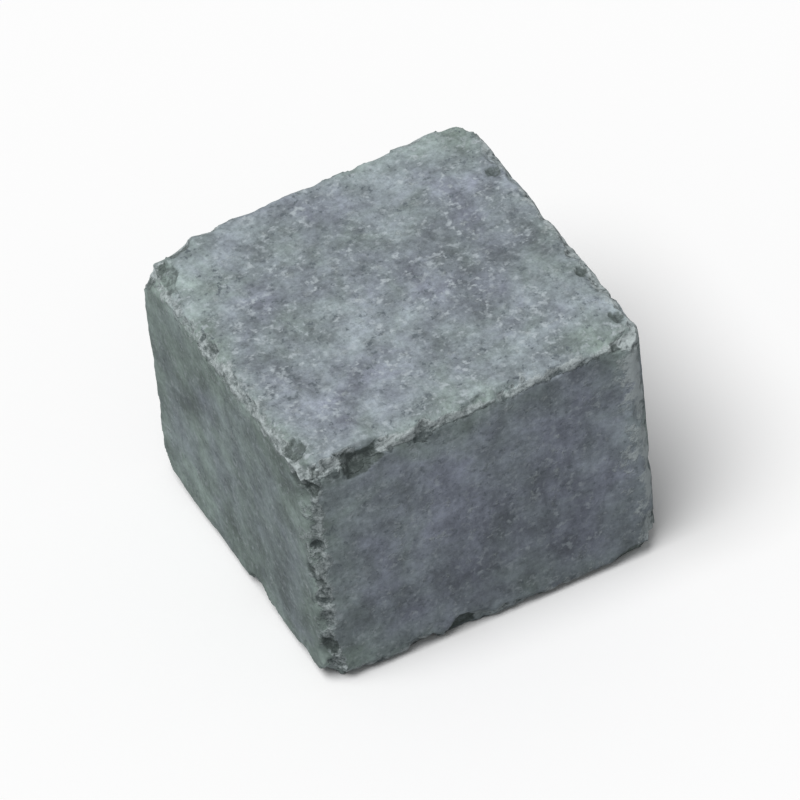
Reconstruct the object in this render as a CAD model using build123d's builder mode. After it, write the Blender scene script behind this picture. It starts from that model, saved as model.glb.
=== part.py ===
from build123d import *
import os

# One tumbled bluestone cobble, lying on its bed face as it is laid.
# A slab is sawn to thickness, cut into blocks by four cuts that are not quite
# square, and the blocks are tumbled until their arrises are worn and spalled.
# +X runs along the course, +Y to the back and +Z up, with the origin under the
# middle of the stone.

# Overall size, in millimetres. Length and width are taken at mid-height.
length = 100.5
width = 100.5
height = 79.5

# How far each cut is off square, in degrees. Skew turns the cut in plan, and
# lean tips it over the stone, so that a positive lean narrows the head.
front_skew, front_lean = -1.5, 1.2
right_skew, right_lean = 0.3, -1.4
back_skew, back_lean = 0.5, 0.8
left_skew, left_lean = 0.1, 1.2

# Wear along the arrises, as radii.
front_left_wear = 4.0
front_right_wear = 6.0
back_right_wear = 8.0
back_left_wear = 3.0
head_wear = 2.6
bed_wear = 3.5

# Spalls, the conchoidal scars where flakes came off an arris. Each is
#   the share of the way along its arris, from the left, front or lower end,
#   the width of the scar,
#   the depth of its bite into the worn arris,
#   its turn, from 1 where it opens in the first side named to -1 in the second.
spalls = {
    ("front", "head"): [
        (0.03, 9.0, 1.2, 0.0), (0.18, 14.0, 2.6, 0.5), (0.30, 7.0, 0.8, -0.5),
        (0.41, 8.0, 0.9, -0.4), (0.48, 6.0, 0.7, 0.4), (0.61, 12.0, 1.3, 0.2),
        (0.73, 7.0, 0.8, 0.5), (0.87, 9.0, 1.0, -0.4), (0.96, 12.0, 1.9, 0.1),
    ],
    ("left", "head"): [
        (0.09, 10.0, 1.7, -0.35), (0.23, 8.0, 0.9, -0.3), (0.34, 10.0, 1.1, 0.3),
        (0.46, 6.0, 0.7, -0.5), (0.57, 9.0, 0.9, 0.2), (0.69, 6.0, 0.7, 0.4),
        (0.80, 10.0, 1.2, -0.2), (0.92, 19.0, 2.6, 0.2),
    ],
    ("back", "head"): [
        (0.07, 18.0, 2.5, 0.2), (0.21, 8.0, 0.9, -0.4), (0.34, 12.0, 1.4, 0.4),
        (0.52, 7.0, 0.8, 0.0), (0.66, 10.0, 1.2, 0.5), (0.82, 7.0, 0.9, -0.3),
        (0.95, 12.0, 1.9, 0.1),
    ],
    ("right", "head"): [
        (0.10, 8.0, 1.0, 0.3), (0.24, 12.0, 1.5, -0.4), (0.42, 7.0, 0.8, 0.2),
        (0.55, 10.0, 1.2, 0.5), (0.71, 6.0, 0.7, -0.3), (0.82, 11.0, 1.4, -0.4),
    ],
    ("front", "left"): [
        (0.07, 11.0, 1.6, 0.3), (0.14, 8.0, 1.1, -0.3), (0.31, 7.0, 0.9, 0.3),
        (0.48, 8.0, 0.9, -0.4), (0.63, 9.0, 1.0, 0.2), (0.86, 12.0, 1.6, -0.4),
    ],
    ("front", "right"): [
        (0.12, 13.0, 1.9, 0.3), (0.37, 8.0, 1.0, -0.4), (0.66, 10.0, 1.2, 0.4),
    ],
    ("back", "right"): [
        (0.22, 11.0, 1.4, -0.3), (0.52, 8.0, 1.0, 0.4), (0.80, 12.0, 1.5, 0.2),
    ],
    ("back", "left"): [
        (0.12, 9.0, 1.1, 0.4), (0.31, 9.0, 1.6, 0.1), (0.62, 9.0, 0.9, 0.2),
        (0.86, 15.0, 1.5, 0.1),
    ],
    ("front", "bed"): [
        (0.09, 10.0, 1.3, -0.3), (0.27, 7.0, 0.9, 0.4), (0.44, 12.0, 1.7, 0.5),
        (0.70, 7.0, 0.9, -0.4), (0.92, 15.0, 2.4, 0.2),
    ],
    ("left", "bed"): [
        (0.14, 9.0, 1.2, 0.3), (0.41, 12.0, 3.2, 0.4), (0.63, 8.0, 1.0, -0.4),
        (0.90, 12.0, 1.7, 0.1),
    ],
    ("back", "bed"): [
        (0.12, 10.0, 1.4, 0.4), (0.45, 13.0, 1.8, -0.2), (0.78, 9.0, 1.2, 0.3),
    ],
    ("right", "bed"): [
        (0.20, 12.0, 1.7, -0.3), (0.54, 8.0, 1.0, 0.4), (0.85, 11.0, 1.5, 0.2),
    ],
}

# Corners that were knocked off, each as the width of its scar and the depth
# of its bite below the sharp corner.
knocks = {
    ("back", "left", "head"): (24.0, 6.8),
    ("back", "right", "head"): (20.0, 5.5),
    ("front", "right", "bed"): (20.0, 6.0),
    ("front", "left", "head"): (12.0, 4.0),
    ("front", "left", "bed"): (18.0, 5.8),
    ("back", "left", "bed"): (20.0, 6.0),
    ("back", "right", "bed"): (24.0, 7.0),
}


def cut(distance, facing, skew, lean):
    """The plane of one cut, which faces out at an angle in plan and stands at a
    distance from the middle of the stone."""
    outward = Vector(1, 0, 0).rotate(Axis.Y, -lean).rotate(Axis.Z, facing + skew)
    middle = Vector(distance, 0, height / 2).rotate(Axis.Z, facing)
    return Plane(origin=middle, z_dir=outward)


with BuildPart() as block:
    Box(2 * length, 2 * width, height, align=(Align.CENTER, Align.CENTER, Align.MIN))
    split(bisect_by=cut(width / 2, -90, front_skew, front_lean), keep=Keep.BOTTOM)
    split(bisect_by=cut(length / 2, 0, right_skew, right_lean), keep=Keep.BOTTOM)
    split(bisect_by=cut(width / 2, 90, back_skew, back_lean), keep=Keep.BOTTOM)
    split(bisect_by=cut(length / 2, 180, left_skew, left_lean), keep=Keep.BOTTOM)

side = {
    "front": block.faces().sort_by(Axis.Y)[0],
    "back": block.faces().sort_by(Axis.Y)[-1],
    "left": block.faces().sort_by(Axis.X)[0],
    "right": block.faces().sort_by(Axis.X)[-1],
    "bed": block.faces().sort_by(Axis.Z)[0],
    "head": block.faces().sort_by(Axis.Z)[-1],
}


def normal(name):
    """The direction that one side of the block faces."""
    return side[name].normal_at()


def arris(one, other):
    """The edge where two sides of the sharp block meet."""
    return next(edge for edge in side[one].edges() if edge in side[other].edges())


def corner(one, other, third):
    """The point where three sides of the sharp block meet."""
    ends = arris(one, other).vertices()
    return Vector(next(end for end in ends if end in side[third].vertices()))


def along(edge, share):
    """The point a share of the way along an arris."""
    start, end = sorted((edge @ 0, edge @ 1), key=lambda end: end.X + end.Y + end.Z)
    return start + (end - start) * share


upright_wear = {
    ("front", "left"): front_left_wear,
    ("front", "right"): front_right_wear,
    ("back", "right"): back_right_wear,
    ("back", "left"): back_left_wear,
}


def wear_of(pair):
    """The radius that an arris is worn to."""
    if "head" in pair:
        return head_wear
    return bed_wear if "bed" in pair else upright_wear[pair]


def strike_off(surface, outward, scar_width, bite):
    """Scoops a flake out of the stone, to a depth below a point of its surface."""
    scoop = (scar_width**2 / 4 + bite**2) / (2 * bite)
    with Locations(surface + outward * (scoop - bite)):
        Sphere(scoop, mode=Mode.SUBTRACT)


with BuildPart() as cobblestone:
    add(block.part)

    for pair, wear in upright_wear.items():
        middle = along(arris(*pair), 0.5)
        fillet(cobblestone.edges().sort_by_distance(middle)[0], radius=wear)
    fillet(cobblestone.faces().sort_by(Axis.Z)[-1].edges(), radius=head_wear)
    fillet(cobblestone.faces().sort_by(Axis.Z)[0].edges(), radius=bed_wear)

    for pair, scars in spalls.items():
        first, second = (normal(name) for name in pair)
        for share, scar_width, bite, turn in scars:
            outward = (first * (1 + turn) + second * (1 - turn)).normalized()
            worn_arris = along(arris(*pair), share) - (first + second - outward) * wear_of(pair)
            strike_off(worn_arris, outward, scar_width, bite)

    for sides, (scar_width, bite) in knocks.items():
        outward = sum((normal(name) for name in sides), Vector()).normalized()
        strike_off(corner(*sides), outward, scar_width, bite)

# The origin goes under the middle of the finished stone.
middle = cobblestone.part.bounding_box().center()
stone = cobblestone.part.moved(Location((-middle.X, -middle.Y, 0)))
stone.label = "cobblestone"

os.makedirs("parts", exist_ok=True)
export_step(stone, "parts/cobblestone.step")
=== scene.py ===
import math
import random
from itertools import permutations

import bpy
import numpy as np
from mathutils import Matrix, Vector, noise
from mathutils.bvhtree import BVHTree


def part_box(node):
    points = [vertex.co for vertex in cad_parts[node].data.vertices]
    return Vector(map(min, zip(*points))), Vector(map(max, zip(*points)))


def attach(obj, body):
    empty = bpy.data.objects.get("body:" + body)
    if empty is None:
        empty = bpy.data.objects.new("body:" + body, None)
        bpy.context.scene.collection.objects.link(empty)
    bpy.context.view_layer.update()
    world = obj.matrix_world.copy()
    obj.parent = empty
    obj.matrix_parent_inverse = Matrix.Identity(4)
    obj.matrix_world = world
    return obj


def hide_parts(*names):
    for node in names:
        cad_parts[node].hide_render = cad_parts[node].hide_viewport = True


# The cobble's skin is one dense mesh, cast onto the solid of the frame and then
# worn, chipped, scarred and pitted. Distances on the stone are in millimetres,
# and Blender's own are in metres.
MM = 0.001
NODE = "cobblestone"

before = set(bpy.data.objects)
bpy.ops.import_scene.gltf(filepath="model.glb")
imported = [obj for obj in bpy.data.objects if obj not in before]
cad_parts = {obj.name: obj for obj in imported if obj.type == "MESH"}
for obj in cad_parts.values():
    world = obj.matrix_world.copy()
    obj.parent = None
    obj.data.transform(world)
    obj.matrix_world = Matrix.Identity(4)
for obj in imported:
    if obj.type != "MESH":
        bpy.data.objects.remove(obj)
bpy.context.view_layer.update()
low, high = (np.array(end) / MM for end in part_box(NODE))


# Grid of the skin

# The width of the close grid beside the arrises, its step, the step over the
# middle of a side, and how far inside the node's box the rays start.
ARRIS_ZONE = 7.5
FINE_STEP = 0.40
COARSE_STEP = 1.04
CORE_INSET = 11.0

# Points that are the same to this many decimals are one point.
MERGE_DECIMALS = 4

# The sides of the stone, each as its axis and whether it is at the high end.
SIDES = {
    "left": (0, False), "right": (0, True), "front": (1, False),
    "back": (1, True), "bed": (2, False), "head": (2, True),
}


def grid_lines(start, end):
    """Places of the grid's lines along one axis, close together near both ends."""
    fine = round(ARRIS_ZONE / FINE_STEP)
    coarse = round((end - start - 2 * ARRIS_ZONE) / COARSE_STEP)
    return np.concatenate([
        np.linspace(start, start + ARRIS_ZONE, fine, endpoint=False),
        np.linspace(start + ARRIS_ZONE, end - ARRIS_ZONE, coarse, endpoint=False),
        np.linspace(end - ARRIS_ZONE, end, fine + 1),
    ])


def box_grid():
    """A grid on all six sides of the node's box, as points and quads."""
    lines = [grid_lines(low[axis], high[axis]) for axis in range(3)]
    points, quads = [], []
    count = 0
    for axis in range(3):
        across, along = (axis + 1) % 3, (axis + 2) % 3
        for end in (low, high):
            sheet = np.zeros((len(lines[across]), len(lines[along]), 3))
            sheet[..., axis] = end[axis]
            sheet[..., across] = lines[across][:, None]
            sheet[..., along] = lines[along][None, :]
            ids = count + np.arange(sheet[..., 0].size).reshape(sheet.shape[:2])
            count += ids.size
            corners = [ids[:-1, :-1], ids[1:, :-1], ids[1:, 1:], ids[:-1, 1:]]
            if end is low:
                corners.reverse()
            points.append(sheet.reshape(-1, 3))
            quads.append(np.stack(corners, -1).reshape(-1, 4))
    rounded = np.concatenate(points).round(MERGE_DECIMALS)
    points, index = np.unique(rounded, axis=0, return_inverse=True)
    return points, index.reshape(-1)[np.concatenate(quads)]


def cast_onto_node(points):
    """Where rays through the points, from a smaller box inside, meet the node, and the way they go."""
    solid = BVHTree.FromObject(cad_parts[NODE], bpy.context.evaluated_depsgraph_get())
    inner = np.clip(points, low + CORE_INSET, high - CORE_INSET)
    outward = points - inner
    outward /= np.linalg.norm(outward, axis=1, keepdims=True)
    met = [solid.ray_cast(Vector(start * MM), Vector(way))[0] for start, way in zip(inner, outward)]
    return np.array(met) / MM, outward


boxed, quads = box_grid()
skin, outward = cast_onto_node(boxed)

# Every point's distance on the box from each side, from the arris where its two
# nearest sides meet and from the corner where the nearest three do.
to_side = {
    name: high[axis] - boxed[:, axis] if at_high else boxed[:, axis] - low[axis]
    for name, (axis, at_high) in SIDES.items()
}
nearest = np.sort(np.stack(list(to_side.values())), axis=0)[:3]
from_arris = nearest[1]
from_corner = np.linalg.norm(nearest, axis=0)


# Finish of the sides and arrises

# How far round an arris one side's finish goes over into the other's.
SIDE_BLEND = 1.2

# How much each side is pecked by the tumbling, and how green its stone is, from
# 0 to 1.
PECKED = {"left": 0.35, "right": 0.45, "front": 0.50, "back": 0.45, "bed": 0.40, "head": 1.00}
GREEN = {"left": 0.82, "right": 0.40, "front": 0.16, "back": 0.50, "bed": 0.45, "head": 0.38}

# What changes beside the arrises: for a side and the one beside it, how much
# there is at their arris and how far in it reaches. None stands for the rest.
# Battered stone is broken into crumbs. Pallor above zero is pale bruising, and
# below zero it is painted shade beside the arris.
BATTERED = {
    None: (0.75, 2.6), ("head", "front"): (0.95, 2.6), ("front", "head"): (0.70, 1.4),
    ("head", "left"): (0.80, 3.6), ("left", "head"): (0.65, 4.5), ("left", "front"): (0.65, 6.0),
    ("front", "left"): (0.70, 3.4), ("front", "right"): (0.95, 8.0), ("right", "head"): (0.80, 3.2),
    ("back", "head"): (0.80, 3.2), ("head", "back"): (0.80, 3.0),
}
# Pallor above zero is pale bruising. Below zero it is painted shade, on the front under the head's arris
# and on the left beside the front's arris.
PALLOR_AND_SHADE = {
    None: (0.15, 3.0), ("head", "front"): (1.10, 3.0), ("front", "head"): (-1.30, 6.5),
    ("head", "left"): (0.00, 3.0), ("left", "head"): (0.10, 5.0), ("left", "front"): (-0.55, 9.0),
    ("front", "left"): (0.05, 3.0), ("front", "right"): (1.60, 8.0),
}
GREENED = {None: (0.30, 9.0), ("front", "left"): (0.50, 22.0), ("head", "left"): (0.55, 9.0)}

# How battered the corners are, and how far round them.
CORNER_BATTERING = 0.75
CORNER_REACH = 7.5

# By how much the battering comes and goes.
BATTERING_SWING = 0.60

# The noises of the skin, each as its longest wave, its octaves and its variant,
# a number that no other noise has.
WAVE_NOISE = (36.0, 2, 1)
WEAR_NOISE = (7.0, 3, 2)
RAGGED_NOISES = [(1.8, 3, variant) for variant in (3, 4, 5)]
ROUGH_NOISE = (2.4, 4, 6)
BATTERING_NOISE = (14.0, 2, 7)

# How far apart two variants lie in the noise, and from one octave to the next,
# how fast the height falls and how many times shorter the waves get.
VARIANT_SHIFT = (17.3, 5.1, 9.7)
OCTAVE_FALL = 1.0
OCTAVE_RATIO = 2.0


def fractal(places, wavelength, octaves, variant):
    """Noise between about -1 and 1 at each place, with its longest waves that long."""
    shift = Vector([variant * apart for apart in VARIANT_SHIFT])
    return np.array([
        noise.fractal(Vector(place) / wavelength + shift, OCTAVE_FALL, OCTAVE_RATIO, octaves)
        for place in places
    ])


def near(distance, reach):
    """1 at no distance, falling smoothly to nearly 0 at twice the reach."""
    return np.exp(-((distance / reach) ** 2))


def shares_of_sides():
    """How much each point of the skin belongs to each side, adding up to 1."""
    shares = {name: near(distance, SIDE_BLEND) for name, distance in to_side.items()}
    total = sum(shares.values())
    return {name: share / total for name, share in shares.items()}


def by_side(values):
    """Blends one value for each side of the stone over the skin."""
    return sum(value * on_side[name] for name, value in values.items())


def beside_arrises(table):
    """Adds up over the skin what a table says there is beside each arris."""
    total = np.zeros(len(skin))
    for side, beside in permutations(SIDES, 2):
        if SIDES[side][0] == SIDES[beside][0]:
            continue
        amount, reach = table.get((side, beside), table[None])
        total += amount * on_side[side] * near(to_side[beside], reach)
    return total


def battering():
    """How broken the stone is at each point, from 0 to 1, coming and going along the arrises."""
    most = np.maximum(beside_arrises(BATTERED), CORNER_BATTERING * near(from_corner, CORNER_REACH))
    return np.clip(most * (1 + BATTERING_SWING * fractal(skin, *BATTERING_NOISE)), 0, 1)


on_side = shares_of_sides()
pecked = by_side(PECKED)
battered = battering()


# Wear

# How deep the waves of the sides go on average, and how much is rubbed off the
# arrises and how far round them.
WAVE_DEPTH = 0.22
ARRIS_WEAR = 0.38
ARRIS_REACH = 3.0


def worn_skin():
    """The skin after the tumbling, wavy over the sides and rubbed down at the arrises."""
    waves = WAVE_DEPTH * (1 + fractal(skin, *WAVE_NOISE))
    wear = ARRIS_WEAR * near(from_arris, ARRIS_REACH) * (1 + fractal(skin, *WEAR_NOISE))
    return skin - outward * np.clip(waves + wear, 0, None)[:, None]


worn = worn_skin()


# Chips, scars and pits

# The chips along the arrises: how many there are, how far from the arris they
# may lie, their usual width and how much it varies, and their bites as shares
# of the width.
CHIPS = 420
CHIP_SEED = 3119
RIM_WIDTH = 2.4
CHIP_WIDTH = 1.9
CHIP_SPREAD = 0.55
CHIP_BITE = (0.08, 0.18)

# How chips and scars are cut: the most that the floor tilts, the slopes of the
# sides in degrees and how ragged the edges are.
CHIP_CUT = (0.40, (20.0, 50.0), 0.40)
SCAR_CUT = (0.10, (35.0, 60.0), 0.14)

# The sides of one chip or scar: how many, how far each may turn from its even
# place, as a share of the way to the next, and how far out each is, as a share
# of half the width.
CHIP_SIDES = 5
SIDE_TURN = 0.3
SIDE_REACH = (0.75, 1.25)

# A point that moves towards a cutter's face more slowly than this never clears it.
LEAST_SPEED = 1e-6

PITS = 260
PIT_RADIUS = (1.2, 2.8)
PIT_DEPTH = (0.08, 0.24)

# How rough the sides are, and how much rougher battered stone is.
SIDE_ROUGHNESS = 0.05
BATTERED_ROUGHNESS = 0.16

# Scars painted dark, partly a stain and partly the painted shade of their
# hollows: the place as shares of the node's box along X, Y and Z, the width, the
# depth of bite and how dark it is, from 0 to 1. The stain and painted shade are
# full where a scar is this deep.
SHADED_SCARS = (
    ((0.180, 0.022, 0.935), 10.5, 1.5, 1.00), ((0.048, 0.130, 0.995), 6.5, 0.9, 0.70),
    ((0.044, 0.890, 0.985), 9.0, 1.2, 0.62), ((0.120, 0.950, 0.975), 8.0, 1.0, 0.55),
    ((0.040, 0.822, 0.995), 6.0, 0.8, 0.60), ((0.010, 0.950, 0.940), 9.0, 1.4, 0.55),
    ((0.075, 0.925, 0.960), 5.0, 0.9, 0.80), ((0.012, 0.085, 0.905), 6.0, 1.0, 0.70),
    ((0.012, 0.035, 0.885), 6.5, 1.1, 0.85), ((0.054, 0.037, 0.970), 4.0, 0.7, 0.60),
    ((0.009, 0.064, 0.518), 5.0, 0.9, 0.65), ((0.020, 0.030, 0.480), 4.0, 0.7, 0.60),
    ((0.026, 0.026, 0.190), 6.5, 1.1, 0.90), ((0.399, 0.013, 0.051), 8.0, 1.3, 0.90),
    ((0.940, 0.755, 0.998), 3.6, 0.7, 0.70), ((0.955, 0.295, 0.998), 4.0, 0.8, 0.75),
    ((0.954, 0.099, 0.998), 4.0, 0.6, 0.70), ((0.921, 0.015, 0.974), 4.0, 0.7, 0.65),
    ((0.521, 0.025, 0.976), 4.0, 0.6, 0.50), ((0.018, 0.584, 0.990), 3.6, 0.6, 0.55),
    ((0.720, 0.985, 0.960), 8.0, 1.4, 0.80), ((0.985, 0.440, 0.040), 8.0, 1.3, 0.80),
    ((0.985, 0.975, 0.550), 6.0, 1.1, 0.70), ((0.300, 0.985, 0.050), 7.0, 1.2, 0.80),
)
SCAR_SEED = 7
STAIN_AND_SHADE_FROM = 0.30

# Dark spots with no scar: the place, the width and the darkness.
DARK_SPOTS = (
    ((0.166, 0.462, 1.000), 4.5, 0.50), ((0.106, 0.531, 1.000), 3.5, 0.50),
    ((0.440, 0.085, 1.000), 4.5, 0.45),
)

# Broad patches where the stone is made lighter or darker: the place, the width
# and how much lighter it is, as a share of its brightness.
TONES = (
    ((0.64, 0.34, 1.00), 20.0, -0.30), ((0.86, 0.57, 1.00), 26.0, -0.26),
    ((0.84, 0.24, 1.00), 20.0, 0.22), ((0.62, 0.75, 1.00), 22.0, 0.20),
    ((0.32, 0.46, 1.00), 18.0, 0.16), ((0.42, 0.11, 1.00), 16.0, -0.15),
    ((0.50, 0.32, 1.00), 16.0, -0.12), ((0.43, 0.01, 0.19), 28.0, -0.28),
    ((0.13, 0.03, 0.34), 26.0, 0.22), ((0.10, 0.03, 0.12), 20.0, 0.18),
    ((0.34, 0.02, 0.51), 18.0, 0.10), ((0.69, 0.01, 0.43), 24.0, 0.12),
    ((0.01, 0.12, 0.85), 11.0, -0.25),
)

# The points that chips and scars may reach, and how a cut's edge is shaken
# there along each axis.
zone = np.flatnonzero(from_arris < 2 * ARRIS_ZONE)
shaken = np.stack([fractal(skin[zone], *ragged) for ragged in RAGGED_NOISES], -1)


def away_from(share):
    """Every point's distance from a place, given as shares of the node's box."""
    return np.linalg.norm(worn - low - np.array(share) * (high - low), axis=1)


def cutter(centre, outward_way, width, bite, tilt, slopes):
    """What cuts one chip: a tilted floor and some sloping sides, as normals and offsets."""
    across = outward_way.orthogonal().normalized()
    along = outward_way.cross(across)
    lean = [random.uniform(-tilt, tilt) for _ in range(2)]
    normals = [-(outward_way + across * lean[0] + along * lean[1]).normalized()]
    through = [centre - outward_way * bite]
    start = random.uniform(0, math.tau)
    for side in range(CHIP_SIDES):
        turn = start + (side + random.uniform(-SIDE_TURN, SIDE_TURN)) * math.tau / CHIP_SIDES
        slope = math.radians(random.uniform(*slopes))
        ray = across * math.cos(turn) + along * math.sin(turn)
        normals.append(ray * math.cos(slope) - outward_way * math.sin(slope))
        through.append(centre + ray * width / 2 * random.uniform(*SIDE_REACH))
    offsets = [normal.dot(point) for normal, point in zip(normals, through)]
    return np.array(normals), np.array(offsets)


def depth_in(points, inward, normals, offsets):
    """How far in each point has to go to be clear of a cutter."""
    room = offsets - points @ normals.T
    speed = inward @ normals.T
    steps = np.where(speed > LEAST_SPEED, room / np.maximum(speed, LEAST_SPEED), np.inf).min(axis=1)
    return np.where((room > 0).all(axis=1), steps, 0.0)


def struck(spot, width, bite, cut):
    """The depth over the zone of one chip, struck off at one of the skin's points."""
    tilt, slopes, raggedness = cut
    faces = cutter(Vector(worn[spot]), Vector(outward[spot]), width, bite, tilt, slopes)
    return depth_in(worn[zone] + raggedness * shaken, -outward[zone], *faces)


def chips():
    """The depth of the small chips all along the arrises."""
    random.seed(CHIP_SEED)
    rim = np.flatnonzero(from_arris < RIM_WIDTH)
    depth = np.zeros(len(skin))
    for _ in range(CHIPS):
        width = CHIP_WIDTH * math.exp(random.gauss(0, CHIP_SPREAD))
        bite = width * random.uniform(*CHIP_BITE)
        depth[zone] = np.maximum(depth[zone], struck(random.choice(rim), width, bite, CHIP_CUT))
    return depth


def dark_scars():
    """The depth of the larger scars, and how dark the stone is painted in them, with stain and painted
    shade, and in the dark spots.
    """
    random.seed(SCAR_SEED)
    depth, darkness = np.zeros(len(skin)), np.zeros(len(skin))
    for share, width, bite, darkest in SHADED_SCARS:
        cut = struck(away_from(share).argmin(), width, bite, SCAR_CUT)
        depth[zone] = np.maximum(depth[zone], cut)
        darkness[zone] = np.maximum(darkness[zone], darkest * np.minimum(cut / STAIN_AND_SHADE_FROM, 1))
    for share, width, darkest in DARK_SPOTS:
        darkness = np.maximum(darkness, darkest * near(away_from(share), width / 2))
    return depth, darkness


def pits():
    """The depth of the pits pecked into the sides."""
    depth = np.zeros(len(skin))
    for _ in range(PITS):
        spot = random.randrange(len(skin))
        away = np.linalg.norm(skin - skin[spot], axis=1)
        depth += random.uniform(*PIT_DEPTH) * pecked[spot] * near(away, random.uniform(*PIT_RADIUS))
    return depth


# The pits go on with the scars' random draws, so they come after them.
chipped = chips()
scarred, stain_and_shade = dark_scars()
pitted = pits()
rough = (SIDE_ROUGHNESS + BATTERED_ROUGHNESS * battered) * fractal(skin, *ROUGH_NOISE)
shape = worn - outward * (np.maximum(chipped, scarred) + pitted + rough)[:, None]

# Nothing reaches below the floor.
shape[:, 2] = np.maximum(shape[:, 2], low[2])


# Mesh

# Rounds of smoothing that leave the ridges and the broader hollows standing out.
RIDGE_ROUNDS = 4
HOLLOW_ROUNDS = 24


def smoothed(values, rounds):
    """Values at the skin's points, each averaged with its neighbours over some rounds."""
    edges = np.concatenate([quads[:, [corner, (corner + 1) % 4]] for corner in range(4)])
    degree = np.bincount(edges[:, 0], minlength=len(values))
    for _ in range(rounds):
        around = np.stack([
            np.bincount(edges[:, 0], weights=values[edges[:, 1], axis], minlength=len(values))
            for axis in range(values.shape[1])
        ], -1)
        values = (values + around / degree[:, None]) / 2
    return values


def raised(rounds):
    """How far each point stands above the smoothed skin, in millimetres."""
    return ((shape - smoothed(shape, rounds)) * outward).sum(1)


def skin_object(name, attributes):
    """The stone's mesh, smooth-shaded, with values for its material at each point."""
    mesh = bpy.data.meshes.new(name)
    mesh.from_pydata((shape * MM).tolist(), [], quads.tolist())
    mesh.shade_smooth()
    for key, values in attributes.items():
        layer = mesh.attributes.new(key, "FLOAT", "POINT")
        layer.data.foreach_set("value", values.astype(np.float32))
    mesh.update()
    made = bpy.data.objects.new(name, mesh)
    bpy.context.scene.collection.objects.link(made)
    return made


stone = skin_object("cobble_skin", {
    "battered": battered,
    "pallor_and_shade": beside_arrises(PALLOR_AND_SHADE),
    # Pallor: pale bruising above zero, painted shade beside the arrises below zero.
    "chipped": chipped,
    # Dark scars: partly stain, partly painted shade.
    "stain_and_shade": stain_and_shade,
    "tone": 1 + sum(lighter * near(away_from(share), width / 2) for share, width, lighter in TONES),
    "pecked": pecked,
    "green": by_side(GREEN) + beside_arrises(GREENED),
    # Ridges give the crumbs pale bruising and in part a painted highlight. Hollows give them painted
    # shade.
    "ridge": raised(RIDGE_ROUNDS),
    "hollow": -raised(HOLLOW_ROUNDS),
})


# Material nodes

def srgb(red, green, blue):
    """A colour as Blender's linear values, from 0 to 255 as a screen shows it."""
    def linear(level):
        level /= 255
        return level / 12.92 if level <= 0.04045 else ((level + 0.055) / 1.055) ** 2.4
    return linear(red), linear(green), linear(blue), 1.0


class Nodes:
    """Adds nodes to one material. A value for a socket is a number, a colour or another node's output."""

    def __init__(self, material):
        material.use_nodes = True
        self.tree = material.node_tree
        self.tree.nodes.clear()

    def add(self, kind, sockets=None, **settings):
        """A node of a kind, with its settings and the values of its sockets."""
        made = self.tree.nodes.new(kind)
        for name, value in settings.items():
            setattr(made, name, value)
        for name, value in (sockets or {}).items():
            if isinstance(value, bpy.types.NodeSocket):
                self.tree.links.new(value, made.inputs[name])
            else:
                made.inputs[name].default_value = value
        return made

    def attribute(self, name):
        """The skin's own value at each point."""
        return self.add("ShaderNodeAttribute", attribute_name=name).outputs["Fac"]

    def math(self, operation, first, second):
        """One step of arithmetic."""
        return self.add("ShaderNodeMath", {0: first, 1: second}, operation=operation).outputs[0]

    def plus(self, first, second):
        """Two values added up."""
        return self.math("ADD", first, second)

    def times(self, first, second):
        """Two values multiplied."""
        return self.math("MULTIPLY", first, second)

    def ramp(self, value, start, end, at_start=0.0, at_end=1.0):
        """Goes smoothly from one value to another as the input goes from start up to end."""
        return self.add(
            "ShaderNodeMapRange",
            {"Value": value, "From Min": start, "From Max": end, "To Min": at_start, "To Max": at_end},
            interpolation_type="SMOOTHSTEP",
        ).outputs["Result"]

    def noise(self, where, wavelength, detail, roughness, shift=0.0, distortion=0.0):
        """Noise with waves that long. With a shift of its own it doesn't follow another noise."""
        moved = self.add("ShaderNodeVectorMath", {0: where, 1: (shift,) * 3}).outputs["Vector"]
        return self.add("ShaderNodeTexNoise", {
            "Vector": moved, "Scale": 1 / wavelength, "Detail": detail,
            "Roughness": roughness, "Distortion": distortion,
        }).outputs["Fac"]

    def streaks(self, where, size, detail, roughness):
        """Noise drawn out to a size along each of the axes that the strokes of the tumbling follow."""
        turn = tuple(map(math.radians, STROKE_TURN))
        turned = self.add("ShaderNodeMapping", {"Vector": where, "Rotation": turn}).outputs["Vector"]
        scale = tuple(1 / length for length in size)
        drawn = self.add("ShaderNodeMapping", {"Vector": turned, "Scale": scale}).outputs["Vector"]
        return self.noise(drawn, 1.0, detail, roughness)

    def mix(self, share, first, second):
        """One colour going over into another by a share."""
        sockets = {"Fac": share, "Color1": first, "Color2": second}
        return self.add("ShaderNodeMixRGB", sockets).outputs["Color"]

    def shaded(self, colour, brightness):
        """A colour made lighter or darker by a factor."""
        sockets = {0: colour, "Scale": brightness}
        return self.add("ShaderNodeVectorMath", sockets, operation="SCALE").outputs["Vector"]


# Stone

VIOLET_GREY = srgb(136, 142, 155)
GREEN_GREY = srgb(134, 148, 143)
PALE_FLECK = srgb(186, 195, 200)
DARK_FLECK = srgb(92, 101, 107)
# Pale crumbs: bruised stone, and on the ridges in part a painted highlight.
BRUISE_AND_HIGHLIGHT = srgb(192, 201, 202)
# Dark crumbs: dark broken stone, and painted shade in hollows and beside the arrises.
DARK_CRUMB_AND_SHADE = srgb(78, 87, 88)
# The scar colours are partly stain and partly the painted shade of the hollow.
SCAR_STAIN_AND_SHADE_DARK = srgb(62, 70, 69)
SCAR_STAIN_AND_SHADE_LIGHT = srgb(92, 102, 99)

# The strokes of the tumbling run nearly front to back over the head.
STROKE_TURN = (0, 0, 78)

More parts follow.
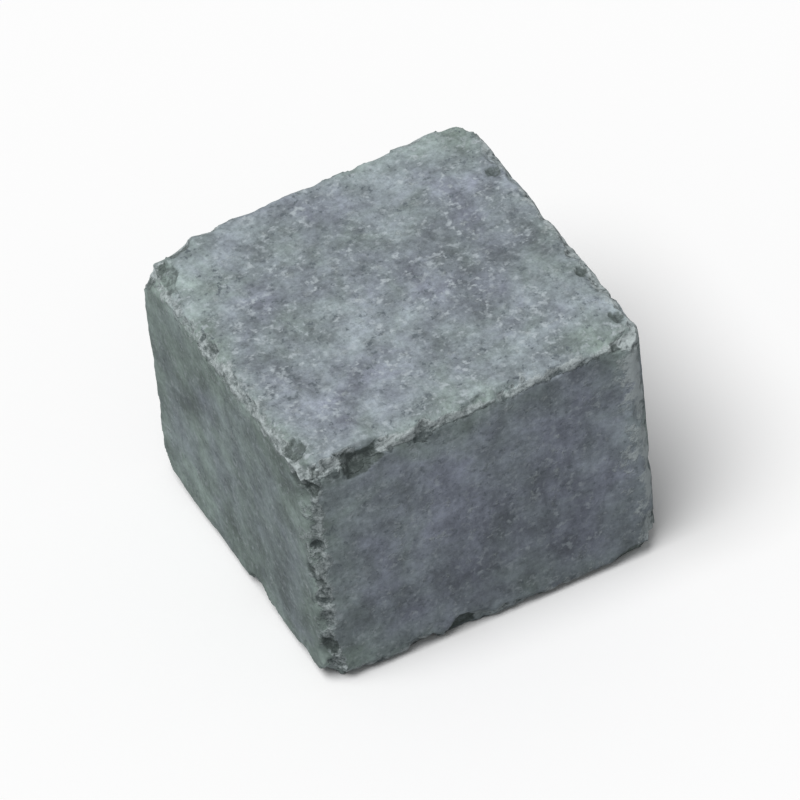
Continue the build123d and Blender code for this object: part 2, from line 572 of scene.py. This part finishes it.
# The noises of the stone, each as its wavelength, its detail, its roughness and
# its shift. Streaks have a size along each axis first, and no shift.
TINT_NOISE = (18.0, 4.0, 0.60, 0.0)
BROAD_NOISE = (42.0, 2.0, 0.50, 40.0)
CLOUD_NOISE = (8.0, 4.0, 0.60, 80.0)
BAND_STREAKS = ((20.0, 3.5, 9.0), 3.0, 0.55)
GRAIN_NOISE = (1.6, 4.0, 0.75, 0.0)
CLUSTER_NOISE = (6.0, 3.0, 0.60, 20.0)
DOT_NOISE = (1.8, 2.0, 0.55, 60.0)
STROKE_STREAKS = ((3.4, 1.3, 1.6), 3.0, 0.60)
PECK_NOISE = (1.7, 3.0, 0.60, 100.0)
FRAY_NOISE = (4.0, 4.0, 0.70, 0.0)
RUBBLE_NOISE = (2.0, 4.0, 0.75, 10.0)

# Between which two values most of a noise lies.
SPAN = (0.25, 0.75)
BAND_SPAN = (0.30, 0.75)

# How much the tint is distorted, how far it swings between the two greys, and
# by what factors the pallor and painted shade, the noises and the grain make the
# stone darker and lighter.
TINT_DISTORTION = 0.4
TINT_SWING = 1.8
PALLOR_AND_SHADE_LIGHT = (0.82, 1.18)
BROAD_LIGHT = (0.76, 1.26)
CLOUD_LIGHT = (0.69, 1.29)
BAND_LIGHT = (0.93, 1.10)
GRAIN_LIGHT = (0.74, 1.25)

# How strongly grain and flecks show where nothing is pecked, and how much more
# where all is.
PLAIN_STRENGTH = 0.35
PECKED_STRENGTH = 0.75

# Where each noise goes over into its flecks, what is left of the pale dots
# outside the clusters and of the dark pecks in pale clouds, and how much of
# their colours the flecks get.
CLUSTER_EDGE = (0.40, 0.62)
DOT_EDGE = (0.51, 0.70)
STROKE_EDGE = (0.56, 0.80)
STROKED_BANDS = (0.48, 0.66)
PECK_EDGE = (0.33, 0.43)
PALE_CLOUDS = (0.40, 0.62)
DOTS_OUTSIDE = 0.25
PECKS_IN_PALE = 0.30
PALE_SHARE = 0.65
DARK_SHARE = 0.80

# Where stone is broken: how far its edge frays, and from what battering and
# depth of chip it goes over into crumbs, and how much of them there is.
FRAYING = 0.55
BROKEN_EDGE = (0.25, 0.75)
CHIPPED_EDGE = (0.05, 0.40)
CRUMB_SHARE = 0.85

# What makes crumbs paler: pallor, and standing out by this many millimetres,
# which is pale bruising and in part a painted highlight on the rims. Lying in a
# hollow of this depth makes them darker, as painted shade.
CRUMB_PALLOR_AND_SHADE = 0.5
RIDGE_HEIGHT = 0.12
RIDGE_LIGHT = (-0.10, 0.25)
HOLLOW_DEPTH = 0.5
HOLLOW_SHADE = 0.12
CRUMB_SPAN = (-0.1, 1.1)

# How rubble breaks up the stain and painted shade of the dark scars, where it
# begins and is full, and how much of its colour shows.
STAIN_AND_SHADE_RUBBLE = (0.30, 0.70)
STAIN_AND_SHADE_MOTTLE = (1.35, 0.65)
STAIN_AND_SHADE_EDGE = (0.05, 1.0)
STAIN_AND_SHADE_SHARE = 0.92
SCAR_SPAN = (0.3, 0.7)

# Fine relief in millimetres, and how rough and how glossy the stone is.
GRAIN_RELIEF = 0.20
RUBBLE_RELIEF = 0.50
FLECK_RELIEF = 0.06
BUMP_STRENGTH = 0.8
ROUGHNESS_SPAN = (0.3, 0.7)
STONE_ROUGHNESS = (0.72, 0.86)
STONE_SPECULAR = 0.35


def ground(nodes, place):
    """The ground colour, clouded in violet and green greys, and its clouds and bands."""
    tint = nodes.noise(place, *TINT_NOISE, distortion=TINT_DISTORTION)
    tint = nodes.times(nodes.math("SUBTRACT", tint, 0.5), TINT_SWING)
    broad = nodes.noise(place, *BROAD_NOISE)
    clouds = nodes.noise(place, *CLOUD_NOISE)
    bands = nodes.streaks(place, *BAND_STREAKS)
    colour = nodes.mix(nodes.plus(tint, nodes.attribute("green")), VIOLET_GREY, GREEN_GREY)
    colour = nodes.shaded(colour, nodes.attribute("tone"))
    # Pallor lightens the bruised arrises, and below zero it darkens the sides with painted shade.
    colour = nodes.shaded(colour, nodes.ramp(nodes.attribute("pallor_and_shade"), -1.0, 1.0, *PALLOR_AND_SHADE_LIGHT))
    colour = nodes.shaded(colour, nodes.ramp(broad, *SPAN, *BROAD_LIGHT))
    colour = nodes.shaded(colour, nodes.ramp(clouds, *SPAN, *CLOUD_LIGHT))
    colour = nodes.shaded(colour, nodes.ramp(bands, *BAND_SPAN, *BAND_LIGHT))
    return colour, clouds, bands


def pecking(nodes, place, colour, clouds, bands):
    """The colour with grain and with the flecks and strokes of the pecking, and each of them."""
    grain = nodes.noise(place, *GRAIN_NOISE)
    strength = nodes.plus(nodes.times(nodes.attribute("pecked"), PECKED_STRENGTH), PLAIN_STRENGTH)
    colour = nodes.mix(strength, colour, nodes.shaded(colour, nodes.ramp(grain, *SPAN, *GRAIN_LIGHT)))

    clusters = nodes.ramp(nodes.noise(place, *CLUSTER_NOISE), *CLUSTER_EDGE, DOTS_OUTSIDE, 1.0)
    dots = nodes.times(nodes.ramp(nodes.noise(place, *DOT_NOISE), *DOT_EDGE), clusters)
    strokes = nodes.ramp(nodes.streaks(place, *STROKE_STREAKS), *STROKE_EDGE)
    strokes = nodes.times(strokes, nodes.ramp(bands, *STROKED_BANDS))
    pale = nodes.times(nodes.math("MAXIMUM", dots, strokes), strength)

    pecks = nodes.ramp(nodes.noise(place, *PECK_NOISE), *PECK_EDGE, 1.0, 0.0)
    pecks = nodes.times(pecks, nodes.ramp(clouds, *PALE_CLOUDS, 1.0, PECKS_IN_PALE))
    dark = nodes.times(pecks, strength)

    colour = nodes.mix(nodes.times(dark, DARK_SHARE), colour, DARK_FLECK)
    colour = nodes.mix(nodes.times(pale, PALE_SHARE), colour, PALE_FLECK)
    return colour, grain, nodes.plus(pale, dark)


def breaks(nodes, place, colour, grain):
    """The colour with broken stone in it, crumbled along the arrises, and with stain and painted shade in
    the scars.
    """
    rubble = nodes.noise(place, *RUBBLE_NOISE)
    frays = nodes.ramp(nodes.noise(place, *FRAY_NOISE), *SPAN, -FRAYING, FRAYING)
    frayed = nodes.ramp(nodes.plus(nodes.attribute("battered"), frays), *BROKEN_EDGE)
    broken = nodes.math("MAXIMUM", frayed, nodes.ramp(nodes.attribute("chipped"), *CHIPPED_EDGE))

    # The crumbs' level: paler with pallor and on ridges, in part a painted highlight, and darker with
    # painted shade in hollows and where the pallor is below zero.
    level = nodes.plus(nodes.ramp(rubble, *SPAN), nodes.times(nodes.attribute("pallor_and_shade"), CRUMB_PALLOR_AND_SHADE))
    ridges = nodes.ramp(nodes.attribute("ridge"), -RIDGE_HEIGHT, RIDGE_HEIGHT, *RIDGE_LIGHT)
    hollows = nodes.ramp(nodes.attribute("hollow"), 0.0, HOLLOW_DEPTH, 0.0, HOLLOW_SHADE)
    level = nodes.math("SUBTRACT", nodes.plus(level, ridges), hollows)
    crumbs = nodes.mix(nodes.ramp(level, *CRUMB_SPAN), DARK_CRUMB_AND_SHADE, BRUISE_AND_HIGHLIGHT)
    colour = nodes.mix(nodes.times(broken, CRUMB_SHARE), colour, crumbs)

    # The scars' stain and painted shade, mottled by the rubble.
    stain_and_shade_share = nodes.times(nodes.attribute("stain_and_shade"), nodes.ramp(rubble, *STAIN_AND_SHADE_RUBBLE, *STAIN_AND_SHADE_MOTTLE))
    stain_and_shade_share = nodes.times(nodes.ramp(stain_and_shade_share, *STAIN_AND_SHADE_EDGE), STAIN_AND_SHADE_SHARE)
    scar = nodes.mix(nodes.ramp(grain, *SCAR_SPAN), SCAR_STAIN_AND_SHADE_DARK, SCAR_STAIN_AND_SHADE_LIGHT)
    return nodes.mix(stain_and_shade_share, colour, scar), nodes.times(rubble, broken)


def relief(nodes, grain, flecks, crumbled):
    """The surface's direction with grain, flecks sunk in and crumbs standing out."""
    height = nodes.times(grain, GRAIN_RELIEF)
    height = nodes.plus(height, nodes.times(crumbled, RUBBLE_RELIEF))
    height = nodes.math("SUBTRACT", height, nodes.times(flecks, FLECK_RELIEF))
    sockets = {"Height": height, "Strength": BUMP_STRENGTH, "Distance": MM}
    return nodes.add("ShaderNodeBump", sockets).outputs["Normal"]


def stone_material():
    """Fine blue-grey limestone, clouded, pecked and broken."""
    material = bpy.data.materials.new("limestone_tumbled")
    nodes = Nodes(material)
    place = nodes.add("ShaderNodeTexCoord").outputs["Object"]
    place = nodes.add("ShaderNodeMapping", {"Vector": place, "Scale": (1 / MM,) * 3}).outputs["Vector"]
    colour, clouds, bands = ground(nodes, place)
    colour, grain, flecks = pecking(nodes, place, colour, clouds, bands)
    colour, crumbled = breaks(nodes, place, colour, grain)
    surface = nodes.add("ShaderNodeBsdfPrincipled", {
        "Base Color": colour,
        "Roughness": nodes.ramp(clouds, *ROUGHNESS_SPAN, *STONE_ROUGHNESS),
        "Specular IOR Level": STONE_SPECULAR,
        "Normal": relief(nodes, grain, flecks, crumbled),
    }).outputs["BSDF"]
    nodes.add("ShaderNodeOutputMaterial", {"Surface": surface})
    return material


stone.data.materials.append(stone_material())
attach(stone, "root")
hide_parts(NODE)


# Floor

FLOOR_SIZE = 6.0
FLOOR_SEEN = srgb(254, 254, 254)
FLOOR_UNSEEN = srgb(160, 162, 164)


def floor_object():
    """A plain pale floor, white to the camera and greyer to the light that it throws back."""
    bpy.ops.mesh.primitive_plane_add(size=FLOOR_SIZE)
    floor = bpy.context.object
    floor.name = "floor"
    material = bpy.data.materials.new("floor_white")
    nodes = Nodes(material)
    seen = nodes.add("ShaderNodeLightPath").outputs["Is Camera Ray"]
    colour = nodes.mix(seen, FLOOR_UNSEEN, FLOOR_SEEN)
    surface = nodes.add("ShaderNodeBsdfDiffuse", {"Color": colour}).outputs["BSDF"]
    nodes.add("ShaderNodeOutputMaterial", {"Surface": surface})
    floor.data.materials.append(material)
    return floor


floor_object()


# Light

SKY = 0.29
SKY_COLOUR = (1, 1, 1, 1)
KEY = 2.36
KEY_ANGLE = 40.0
KEY_FROM = Vector((-0.37, -0.12, 1.0))


def light_the_scene():
    """An even white sky, and one broad soft lamp from above and the left."""
    world = bpy.data.worlds.new("studio")
    bpy.context.scene.world = world
    world.use_nodes = True
    background = world.node_tree.nodes["Background"]
    background.inputs["Color"].default_value = SKY_COLOUR
    background.inputs["Strength"].default_value = SKY
    key = bpy.data.objects.new("key", bpy.data.lights.new("key", "SUN"))
    key.data.energy = KEY
    key.data.angle = math.radians(KEY_ANGLE)
    key.rotation_euler = KEY_FROM.to_track_quat("Z", "Y").to_euler()
    bpy.context.scene.collection.objects.link(key)


light_the_scene()


# Camera

CAMERA_DISTANCE = 2.253
CAMERA_AZIMUTH = math.radians(-22.05)
CAMERA_ELEVATION = math.radians(44.34)
CAMERA_ROLL = math.radians(-7.88)
CAMERA_LENS = 380.0


def aim_camera():
    """A long lens from the front left and above, rolled a little to the right."""
    camera = bpy.data.objects.new("camera", bpy.data.cameras.new("camera"))
    camera.data.lens = CAMERA_LENS
    back = Vector((
        math.sin(CAMERA_AZIMUTH) * math.cos(CAMERA_ELEVATION),
        -math.cos(CAMERA_AZIMUTH) * math.cos(CAMERA_ELEVATION),
        math.sin(CAMERA_ELEVATION),
    ))
    level = Vector((0, 0, 1)).cross(back).normalized()
    right = level * math.cos(CAMERA_ROLL) + back.cross(level) * math.sin(CAMERA_ROLL)
    turned = Matrix((right, back.cross(right), back)).transposed().to_4x4()
    middle = Vector((low + high) / 2 * MM)
    camera.matrix_world = Matrix.Translation(middle + back * CAMERA_DISTANCE) @ turned
    bpy.context.scene.collection.objects.link(camera)
    bpy.context.scene.camera = camera


aim_camera()

bpy.context.scene.view_settings.view_transform = "Standard"
